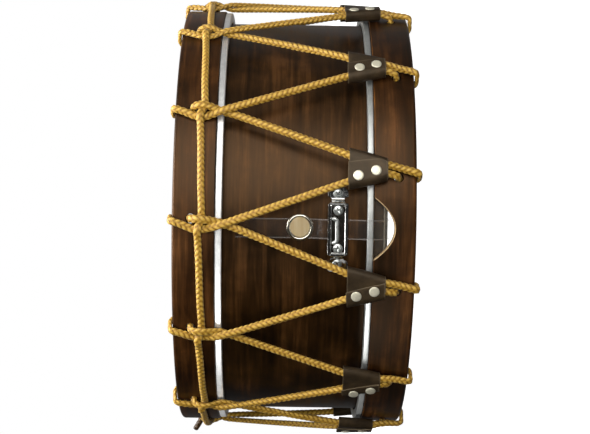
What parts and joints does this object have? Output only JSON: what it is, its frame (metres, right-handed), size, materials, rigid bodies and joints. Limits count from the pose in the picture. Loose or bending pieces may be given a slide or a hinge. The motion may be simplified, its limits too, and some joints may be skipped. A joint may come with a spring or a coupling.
{
  "type": "rope-tension field drum",
  "caption": "Rope-tensioned wooden field drum with laced golden cord, sliding leather ears, film heads, woven top cord and snares with a lever throw-off.",
  "frame": {"origin": "on the drum's axis, at the lowest point of the rope loops that pass round the snare-side rim", "axes": "+Z along the drum's axis towards the batter head; -Y towards the butt plate and vent; +Y towards the snare throw-off"},
  "size_m": [0.4034, 0.3974, 0.2033],
  "materials": {
    "stained_wood": "stained and waxed",
    "satin_aluminium": "satin",
    "head_film": "translucent film",
    "golden_rope": "braided",
    "brown_leather": "smooth, worn edges",
    "nickel": "nickel plated",
    "chrome": "bright chrome",
    "clear_plastic": "clear film",
    "snare_steel": "bare wire"
  },
  "bodies": {
    "drum": {"batter_counterhoop": "stained_wood", "batter_flesh_hoop": "satin_aluminium", "batter_head": "head_film", "butt_bracket": "chrome", "butt_clamp": "chrome", "butt_clamp_screw_lower": "chrome", "butt_clamp_screw_upper": "chrome", "butt_mount_screw_lower": "chrome", "butt_mount_screw_upper": "chrome", "shell": "stained_wood", "snare_counterhoop": "stained_wood", "snare_flesh_hoop": "satin_aluminium", "snare_head": "head_film", "snare_strap_butt": "clear_plastic", "snare_strap_throwoff": "clear_plastic", "snare_wires": "snare_steel", "tension_rope": "golden_rope", "throwoff_bracket": "chrome", "vent_grommet": "nickel", "woven_rope": "golden_rope"},
    "ear_slide_01": {"ear_01": "brown_leather", "rivet_01a": "nickel", "rivet_01b": "nickel"},
    "ear_slide_02": {"ear_02": "brown_leather", "rivet_02a": "nickel", "rivet_02b": "nickel"},
    "ear_slide_03": {"ear_03": "brown_leather", "rivet_03a": "nickel", "rivet_03b": "nickel"},
    "ear_slide_04": {"ear_04": "brown_leather", "rivet_04a": "nickel", "rivet_04b": "nickel"},
    "ear_slide_05": {"ear_05": "brown_leather", "rivet_05a": "nickel", "rivet_05b": "nickel"},
    "ear_slide_06": {"ear_06": "brown_leather", "rivet_06a": "nickel", "rivet_06b": "nickel"},
    "ear_slide_07": {"ear_07": "brown_leather", "rivet_07a": "nickel", "rivet_07b": "nickel"},
    "ear_slide_08": {"ear_08": "brown_leather", "rivet_08a": "nickel", "rivet_08b": "nickel"},
    "ear_slide_09": {"ear_09": "brown_leather", "rivet_09a": "nickel", "rivet_09b": "nickel"},
    "ear_slide_10": {"ear_10": "brown_leather", "rivet_10a": "nickel", "rivet_10b": "nickel"},
    "ear_slide_11": {"ear_11": "brown_leather", "rivet_11a": "nickel", "rivet_11b": "nickel"},
    "ear_slide_12": {"ear_12": "brown_leather", "rivet_12a": "nickel", "rivet_12b": "nickel"},
    "lever": {"throwoff_lever": "chrome"},
    "carriage": {"throwoff_carriage": "chrome"},
    "knob": {"throwoff_knob": "chrome"},
    "strap_clamp": {"throwoff_clamp": "chrome"}
  },
  "joints": [
    {"name": "ear_01_slide", "type": "slide", "parent": "drum", "child": "ear_slide_01", "axis": [0, 0, 1], "range_m": [0, 0.045], "deforming": ["tension_rope"]},
    {"name": "ear_02_slide", "type": "slide", "parent": "drum", "child": "ear_slide_02", "axis": [0, 0, 1], "range_m": [0, 0.045], "deforming": ["tension_rope"]},
    {"name": "ear_03_slide", "type": "slide", "parent": "drum", "child": "ear_slide_03", "axis": [0, 0, 1], "range_m": [0, 0.045], "deforming": ["tension_rope"]},
    {"name": "ear_04_slide", "type": "slide", "parent": "drum", "child": "ear_slide_04", "axis": [0, 0, 1], "range_m": [0, 0.045], "deforming": ["tension_rope"]},
    {"name": "ear_05_slide", "type": "slide", "parent": "drum", "child": "ear_slide_05", "axis": [0, 0, 1], "range_m": [0, 0.045], "deforming": ["tension_rope"]},
    {"name": "ear_06_slide", "type": "slide", "parent": "drum", "child": "ear_slide_06", "axis": [0, 0, 1], "range_m": [0, 0.045], "deforming": ["tension_rope"]},
    {"name": "ear_07_slide", "type": "slide", "parent": "drum", "child": "ear_slide_07", "axis": [0, 0, 1], "range_m": [0, 0.045], "deforming": ["tension_rope"]},
    {"name": "ear_08_slide", "type": "slide", "parent": "drum", "child": "ear_slide_08", "axis": [0, 0, 1], "range_m": [0, 0.045], "deforming": ["tension_rope"]},
    {"name": "ear_09_slide", "type": "slide", "parent": "drum", "child": "ear_slide_09", "axis": [0, 0, 1], "range_m": [0, 0.045], "deforming": ["tension_rope"]},
    {"name": "ear_10_slide", "type": "slide", "parent": "drum", "child": "ear_slide_10", "axis": [0, 0, 1], "range_m": [0, 0.045], "deforming": ["tension_rope"]},
    {"name": "ear_11_slide", "type": "slide", "parent": "drum", "child": "ear_slide_11", "axis": [0, 0, 1], "range_m": [0, 0.045], "deforming": ["tension_rope"]},
    {"name": "ear_12_slide", "type": "slide", "parent": "drum", "child": "ear_slide_12", "axis": [0, 0, 1], "range_m": [0, 0.045], "deforming": ["tension_rope"]},
    {"name": "lever_hinge", "type": "hinge", "parent": "drum", "child": "lever", "pos_m": [0, 0.1865, 0.108], "axis": [-1, 0, 0], "range_deg": [0, 95]},
    {"name": "carriage_slide", "type": "slide", "parent": "drum", "child": "carriage", "axis": [0, 0, -1], "range_m": [0, 0.00596], "deforming": ["snare_strap_throwoff"]},
    {"name": "knob_turn", "type": "hinge", "parent": "carriage", "child": "knob", "pos_m": [0, 0.1886, 0.08], "axis": [0, 0, 1], "range_deg": [-360, 1080]},
    {"name": "clamp_slide", "type": "slide", "parent": "carriage", "child": "strap_clamp", "axis": [0, 0, 1], "range_m": [-0.0022, 0.0008], "deforming": ["snare_strap_throwoff"]}
  ],
  "couplings": [
    {"joint": "lever_hinge", "follows": "carriage_slide", "rad_per_m": 277.78},
    {"joint": "clamp_slide", "follows": "knob_turn", "m_per_rad": -0.00011}
  ]
}
